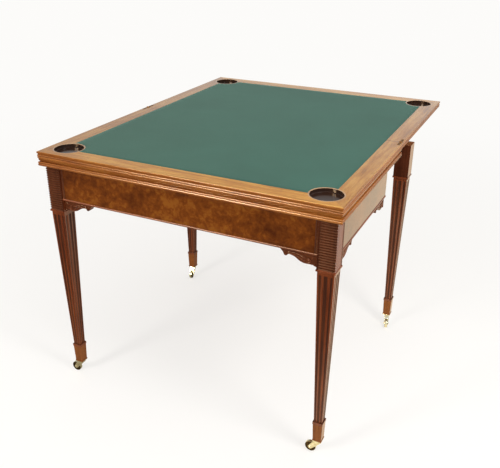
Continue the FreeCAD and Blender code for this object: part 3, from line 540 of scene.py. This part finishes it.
burr, tree, place = new_material("burr_walnut_veneer")
swirl = node(tree, "ShaderNodeTexNoise", links={"Vector": place},
             inputs={"Scale": 22, "Detail": 2, "Roughness": 0.5})
drift = node(tree, "ShaderNodeVectorMath", operation="MULTIPLY_ADD",
             links={0: swirl.outputs["Color"], 2: place}, inputs={1: (0.018, 0.018, 0.018)})
figure = node(tree, "ShaderNodeTexNoise", links={"Vector": drift.outputs[0]},
              inputs={"Scale": 58, "Detail": 6, "Roughness": 0.66, "Distortion": 0.3})
broad = node(tree, "ShaderNodeTexNoise", links={"Vector": place},
             inputs={"Scale": 11, "Detail": 2})
eyes = node(tree, "ShaderNodeTexVoronoi", links={"Vector": drift.outputs[0]},
            inputs={"Scale": 170}, feature="F1")
summed = node(tree, "ShaderNodeMath", operation="MULTIPLY_ADD",
              links={0: broad.outputs["Fac"], 2: figure.outputs["Fac"]}, inputs={1: 0.6})
# The veneer darkens towards the ends of the front panel and on both sides.
across = node(tree, "ShaderNodeSeparateXYZ", links={0: place}).outputs["X"]
aside = node(tree, "ShaderNodeMath", operation="ABSOLUTE", links={0: across})
ends = node(tree, "ShaderNodeMapRange", links={"Value": aside.outputs[0]},
            inputs={"From Min": 0.2, "From Max": 0.37, "To Min": 0.06, "To Max": -0.1})
summed = node(tree, "ShaderNodeMath", operation="ADD",
              links={0: summed.outputs[0], 1: ends.outputs[0]})
tone = node(tree, "ShaderNodeValToRGB", links={"Fac": summed.outputs[0]},
            stops=((0.5, "#3F1B07"), (0.7, "#57290A"), (0.86, "#6A350D"), (1.0, "#7E4714")))
pips = node(tree, "ShaderNodeMapRange", links={"Value": eyes.outputs["Distance"]},
            inputs={"From Min": 0.1, "From Max": 0.3, "To Min": 0.7, "To Max": 1.0})
colour = node(tree, "ShaderNodeMix", data_type="RGBA", blend_type="MULTIPLY",
              links={6: tone.outputs["Color"], 7: pips.outputs[0]}, inputs={0: 0.4})
shader = node(tree, "ShaderNodeBsdfPrincipled", links={"Base Color": colour.outputs[2]},
              inputs={"Roughness": 0.45, "Coat Weight": 1.0, "Coat Roughness": 0.1,
                      "Coat IOR": 1.45, "Specular IOR Level": 0.04,
                      "Specular Tint": linear("#F0B47C")})
node(tree, "ShaderNodeOutputMaterial", links={"Surface": shader.outputs[0]})

for source in ("front_burr_panel", "left_burr_panel", "right_burr_panel"):
    piece = worked(source, f"veneered_{source}", 0)
    dress(piece, burr)
    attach(piece, "carcass")
    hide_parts(source)

leg_streaks = ((0.5, "#3D180A"), (0.75, "#602B14"), (1.0, "#7A3D20"))
# Darker streaks, painted shade on the upright beads and the reeded block faces.
painted_shade_streaks = ((0.5, "#260F07"), (0.75, "#3D1A0C"), (1.0, "#522816"))
shaded_bead_across = polished_wood("painted_shade_bead_front", "X", painted_shade_streaks, polish=0.5, lacquer=1.07)
shaded_bead_along = polished_wood("painted_shade_bead_side", "Y", painted_shade_streaks, polish=0.5, lacquer=1.07)
lit_across = polished_wood("lit_bead_front", "X", leg_streaks, polish=0.3, lacquer=1.32)
lit_along = polished_wood("lit_bead_side", "Y", leg_streaks, polish=0.3, lacquer=1.32)
# The lower beads keep the leg's wood under a brighter polish, lighter as a
# painted highlight; those that stand beside a panel are painted darker as shade.
lower_bead_top = 0.6148
for source, shaded_bead, lit in (("front_cock_bead", shaded_bead_across, lit_across),
                          ("left_cock_bead", shaded_bead_along, lit_along),
                          ("right_cock_bead", shaded_bead_along, lit_along)):
    piece = worked(source, f"glued_{source}", 0)
    dress(piece, shaded_bead, lit)
    for face in piece.data.polygons:
        face.material_index = 1 if face.center.z < lower_bead_top else 0
    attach(piece, "carcass")
    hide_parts(source)

plain_streaks = ((0.5, "#4A2A16"), (0.75, "#6E4526"), (0.95, "#875A36"))
rail_across = polished_wood("oiled_rail_across", "X", plain_streaks, polish=0.4, gloss=0.7)
rail_along = polished_wood("oiled_rail_along", "Y", plain_streaks, polish=0.4, gloss=0.7)
for source in ("front_rail", "inner_back_rail", "glue_blocks", "rear_rail", "flap_bearer",
               "runner_cross_rail"):
    dress(nodes[source], rail_across)
for source in ("left_side_rail", "right_side_rail", "left_runner_guide", "right_runner_guide",
               "left_runner", "right_runner", "runner_stops"):
    dress(nodes[source], rail_along)

# Brackets
# Shaped walnut corner brackets, their face sunk inside a raised edge and
# carved with a rosette at the deep end, leaves along the ogee and a round drop.

carved_streaks = ((0.5, "#3B180B"), (0.75, "#552814"), (1.0, "#6A361D"))
bracket_across = polished_wood("carved_walnut_across", "X", carved_streaks, polish=0.25,
                               lacquer=1.25)
bracket_along = polished_wood("carved_walnut_along", "Y", carved_streaks, polish=0.25,
                              lacquer=1.25)
sunk_wood = polished_wood("stained_sunk_ground", "X", ((0.5, "#3A190B"), (1.0, "#613017")),
                          polish=0.3, lacquer=1.2)
# Darker streaks, painted shade in the flutes and in the strips beside the panels.
hollow_shade_tones = ((0.5, "#2A1209"), (0.75, "#3E1C0F"), (1.0, "#502813"))
painted_hollow_shade = polished_wood("painted_shade_in_hollows", "Z", hollow_shade_tones, polish=0.3,
                            gloss=0.6, lacquer=1.25)

ground = -0.0014
carved = []
for reach, drop, radius in ((0.022, 0.0190, 0.0066), (0.0065, 0.0265, 0.0032),
                            (0.0822, 0.0150, 0.0024)):
    bpy.ops.object.select_all(action="DESELECT")
    bpy.ops.mesh.primitive_cylinder_add(vertices=32, radius=radius, depth=0.003,
                                        location=(reach, -drop, -0.0009))
    boss = bpy.context.object
    bpy.ops.object.transform_apply(location=True, rotation=True, scale=True)
    inset_faces(boss, lambda face: face.normal.z > 0.9, *[
        (width * radius, rise * radius) for width, rise in (
            (0.12, 0.05), (0.15, 0.0), (0.12, -0.14), (0.14, 0.0), (0.1, 0.16), (0.12, 0.06))])
    carved.append(boss)
for reach, drop, length, width, turn in (
        (0.036, 0.0215, 0.0070, 0.0026, 38), (0.037, 0.0125, 0.0080, 0.0026, 8),
        (0.046, 0.0170, 0.0068, 0.0024, 34), (0.048, 0.0085, 0.0080, 0.0023, 6),
        (0.056, 0.0130, 0.0062, 0.0022, 28), (0.060, 0.0065, 0.0075, 0.0019, 2),
        (0.065, 0.0100, 0.0056, 0.0019, 18), (0.072, 0.0060, 0.0062, 0.0017, -8),
        (0.074, 0.0110, 0.0048, 0.0017, -20), (0.085, 0.0055, 0.0052, 0.0015, -12),
        (0.012, 0.0100, 0.0066, 0.0021, 118), (0.0155, 0.0245, 0.0052, 0.0018, 62)):
    bpy.ops.object.select_all(action="DESELECT")
    bpy.ops.mesh.primitive_uv_sphere_add(segments=16, ring_count=8, radius=1,
                                         location=(reach, -drop, ground))
    lobe = bpy.context.object
    lobe.scale = (length, width, 0.0019)
    lobe.rotation_euler.z = math.radians(turn)
    bpy.ops.object.transform_apply(location=True, rotation=True, scale=True)
    bpy.ops.object.mode_set(mode="EDIT")
    bpy.ops.mesh.select_all(action="SELECT")
    bpy.ops.mesh.bisect(plane_co=(0, 0, ground - 0.001), plane_no=(0, 0, 1), clear_inner=True,
                        use_fill=True)
    bpy.ops.object.mode_set(mode="OBJECT")
    carved.append(lobe)
carving = joined("bracket_carving", carved)
bpy.ops.object.shade_smooth_by_angle(angle=math.radians(50))

# Each bracket: which way it runs from its deep end, and which way it faces.
brackets = {"front_bracket_left": ((1, 0, 0), (0, -1, 0)),
            "front_bracket_right": ((-1, 0, 0), (0, -1, 0)),
            "left_bracket_front": ((0, 1, 0), (-1, 0, 0)),
            "left_bracket_rear": ((0, -1, 0), (-1, 0, 0)),
            "right_bracket_front": ((0, 1, 0), (1, 0, 0)),
            "right_bracket_rear": ((0, -1, 0), (1, 0, 0))}
for source, (run, outward) in brackets.items():
    run, outward = Vector(run), Vector(outward)
    piece = worked(source, f"carved_{source}", 0.0008)
    inset_faces(piece, lambda face: face.normal.dot(outward) > 0.999, (0.0017, ground))
    sunk = [face.index for face in piece.data.polygons if face.select]
    faired(piece)
    wood = bracket_across if run.x else bracket_along
    dress(piece, wood, sunk_wood)
    for face in piece.data.polygons:
        face.material_index = 1 if face.index in sunk else 0
    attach(piece, "carcass")
    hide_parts(source)
    low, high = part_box(source)
    # The carving starts at the deep end, from the top of the bracket's outer face.
    corner = Vector([low[axis] if (run - outward)[axis] > 0 else high[axis] for axis in (0, 1)]
                    + [high.z])
    leaves = bpy.data.objects.new(f"{source}_leaves", carving.data.copy())
    bpy.context.collection.objects.link(leaves)
    leaves.data.transform(Matrix.Translation(corner)
                          @ Matrix((run, (0, 0, 1), outward)).transposed().to_4x4())
    if run.cross(Vector((0, 0, 1))).dot(outward) < 0:
        leaves.data.flip_normals()
    dress(leaves, wood)
    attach(leaves, "carcass")
bpy.data.objects.remove(carving)

# Legs
# Square tapered legs of stained walnut: reeded block, bead, three flutes to a
# face, collar and spade foot. The flutes and the reeded fronts and backs of the
# blocks are painted darker as shade, and the blocks' sides lighter as a painted sheen.

leg_wood = polished_wood("stained_walnut_leg", "Z", leg_streaks)
# The blocks' reeded fronts and backs are painted darker as shade; their sides are lighter, under a
# brighter polish, as a painted sheen.
shaded_reed_wood = polished_wood("painted_shade_reeded_walnut", "Z", painted_shade_streaks, polish=0.3, lacquer=1.12)
sheen_side_wood = polished_wood("painted_sheen_reeded_walnut", "Z", leg_streaks, polish=0.2, lacquer=1.5)
# The feet are a lighter, more orange wood than the shafts.
foot_wood = polished_wood("lighter_walnut_foot", "Z",
                          ((0.5, "#5A2C11"), (0.75, "#703C18"), (1.0, "#824A21")), lacquer=1.25)
# Heights and half widths of a leg's members. A face that lies well inside the
# shaft's own square is in a flute.
foot_top, shaft_foot, shaft_top, block_foot = 0.1025, 0.111, 0.561, 0.5755
shaft_length, low_half, high_half, block_half = 0.449, 0.0117, 0.0220, 0.0215
flute_share = 0.965
for corner in ("front_left", "front_right", "rear_left", "rear_right"):
    source = f"{corner}_leg"
    piece = worked(source, f"fluted_{source}", 0.0005)
    dress(piece, leg_wood, painted_hollow_shade, foot_wood, shaded_reed_wood, sheen_side_wood)
    low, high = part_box(source)
    axis = (low + high) / 2
    for face in piece.data.polygons:
        place = face.center
        reach = max(abs(place.x - axis.x), abs(place.y - axis.y))
        if place.z < foot_top:
            face.material_index = 2
        elif place.z < shaft_top:
            rise = (place.z - shaft_foot) / shaft_length
            full = low_half + (high_half - low_half) * rise
            out = abs((place - axis).xy.dot(face.normal.xy))
            # Flute faces take the darker wood as painted shade.
            face.material_index = 1 if out < full * flute_share else 0
        # Block faces: the sides take the painted sheen, the reeded fronts and backs the painted
        # shade.
        elif place.z > block_foot and reach > block_half:
            face.material_index = 4 if abs(place.x - axis.x) > block_half else 3
        else:
            face.material_index = 0
    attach(piece, "carcass" if corner.startswith("front") else "rear_frame")
    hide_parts(source)


def strips(name, wood, rounding, steps, places):
    """Upright strips with rounded arrises, in pairs left and right, joined."""
    made = []
    for side in (-1, 1):
        for (across, along, up), size in places:
            bpy.ops.object.select_all(action="DESELECT")
            bpy.ops.mesh.primitive_cube_add(size=1, location=(side * across, along, up))
            strip = bpy.context.object
            strip.dimensions = size
            bpy.ops.object.transform_apply(location=True, rotation=True, scale=True)
            rounded = strip.modifiers.new("rounded", "BEVEL")
            rounded.width = rounding
            rounded.segments = steps
            bpy.ops.object.modifier_apply(modifier="rounded")
            dress(strip, wood)
            made.append(strip)
    return joined(name, made)


# A plain margin in the reeds' painted-shade wood stops the reeds beside each
# panel, and a dark strip beside it paints the shade in the corner.
piece = strips("block_margins", shaded_reed_wood, 0.0007, 3,
               (((0.38115, -0.5202, 0.6411), (0.0045, 0.0026, 0.133)),
                ((0.4257, -0.47565, 0.6411), (0.0026, 0.0045, 0.133))))
bpy.ops.object.shade_smooth_by_angle(angle=math.radians(40))
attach(piece, "carcass")
piece = strips("painted_shade_strips", painted_hollow_shade, 0.00015, 2,
               (((0.3724, -0.51855, 0.6613), (0.0030, 0.0006, 0.0926)),
                ((0.42405, -0.4669, 0.6613), (0.0006, 0.0030, 0.0926))))
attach(piece, "carcass")

# Casters
# Cast brass swivel casters: a square plate under the foot, a forked horn that
# turns on its stem, and a wheel on a riveted axle, dark brown in its sides.

# Cast, polished and thinly tarnished: pale highlights, blurred in patches.
brass, tree, place = new_material("polished_cast_brass")
tarnish = node(tree, "ShaderNodeTexNoise", links={"Vector": place},
               inputs={"Scale": 140, "Detail": 5, "Roughness": 0.65})
tone = node(tree, "ShaderNodeValToRGB", links={"Fac": tarnish.outputs["Fac"]},
            stops=((0.3, "#A09B78"), (0.5, "#D2D0B2"), (0.8, "#EBEBDA")))
dulled = node(tree, "ShaderNodeMapRange", links={"Value": tarnish.outputs["Fac"]},
              inputs={"From Min": 0.3, "From Max": 0.7, "To Min": 0.34, "To Max": 0.16})
scratches = node(tree, "ShaderNodeBump", links={"Height": tarnish.outputs["Fac"]},
                 inputs={"Strength": 0.1, "Distance": 0.0003})
shader = node(tree, "ShaderNodeBsdfPrincipled",
              links={"Base Color": tone.outputs["Color"], "Roughness": dulled.outputs[0],
                     "Normal": scratches.outputs[0]}, inputs={"Metallic": 1.0})
node(tree, "ShaderNodeOutputMaterial", links={"Surface": shader.outputs[0]})

# Dark brown metal on the wheel's sides, that sets off the bright tread.
dark_wheel_brass, tree, place = new_material("dark_brown_wheel_brass")
wheel_mottle = node(tree, "ShaderNodeTexNoise", links={"Vector": place},
              inputs={"Scale": 220, "Detail": 4, "Roughness": 0.6})
tone = node(tree, "ShaderNodeValToRGB", links={"Fac": wheel_mottle.outputs["Fac"]},
            stops=((0.35, "#1E170C"), (0.6, "#4A3B20"), (0.85, "#7A6338")))
shader = node(tree, "ShaderNodeBsdfPrincipled", links={"Base Color": tone.outputs["Color"]},
              inputs={"Metallic": 1.0, "Roughness": 0.32})
node(tree, "ShaderNodeOutputMaterial", links={"Surface": shader.outputs[0]})

for pair, body in (("front", "carcass"), ("rear", "rear_frame")):
    piece = worked(f"{pair}_caster_plates", f"filed_{pair}_caster_plates", 0.0006)
    dress(piece, brass)
    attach(piece, body)
    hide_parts(f"{pair}_caster_plates")
wheel_radius, trail, half_fork = 0.0155, 0.020, 0.0074
for corner, spot, turn in (("front_left", (-0.40275, -0.49725), 0),
                           ("front_right", (0.40275, -0.49725), 0),
                           ("rear_left", (-0.40275, 0.2095), 99),
                           ("rear_right", (0.40275, 0.2095), 103)):
    heading = Matrix.Rotation(math.radians(turn), 3, "Z")
    axle = Vector((*spot, wheel_radius)) + heading @ Vector((-trail, 0, 0))
    across = heading @ Vector((0, 1, 0))
    piece = worked(f"{corner}_caster_horn", f"cast_{corner}_caster_horn", 0.0008, steps=3)
    dress(piece, brass)
    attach(piece, f"{corner}_caster")
    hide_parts(f"{corner}_caster_horn")
    fittings = []
    bpy.ops.object.select_all(action="DESELECT")
    bpy.ops.mesh.primitive_torus_add(location=(*spot, 0.0419), major_radius=0.0082,
                                     minor_radius=0.0011, major_segments=48, minor_segments=12)
    bpy.ops.object.transform_apply(location=True)
    fittings.append(bpy.context.object)
    for side in (-1, 1):
        bpy.ops.object.select_all(action="DESELECT")
        bpy.ops.mesh.primitive_uv_sphere_add(segments=24, ring_count=12, radius=1,
                                             location=axle + side * half_fork * across)
        rivet = bpy.context.object
        rivet.scale = (0.0034, 0.0014, 0.0034)
        rivet.rotation_euler.z = math.radians(turn)
        bpy.ops.object.transform_apply(location=True, rotation=True, scale=True)
        fittings.append(rivet)
    piece = joined(f"{corner}_turret_and_rivets", fittings)
    dress(piece, brass)
    bpy.ops.object.shade_smooth()
    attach(piece, f"{corner}_caster")
    piece = worked(f"{corner}_wheel", f"turned_{corner}_wheel", 0.0010, steps=3)
    inset_faces(piece, lambda face: abs(face.normal.dot(across)) > 0.99,
                (0.0016, 0.0), (0.0006, -0.0007))
    faired(piece)
    dress(piece, brass, dark_wheel_brass)
    for face in piece.data.polygons:
        tread = abs(face.normal.dot(across)) < 0.5
        face.material_index = 0 if tread else 1
    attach(piece, f"{corner}_roller")
    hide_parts(f"{corner}_wheel")
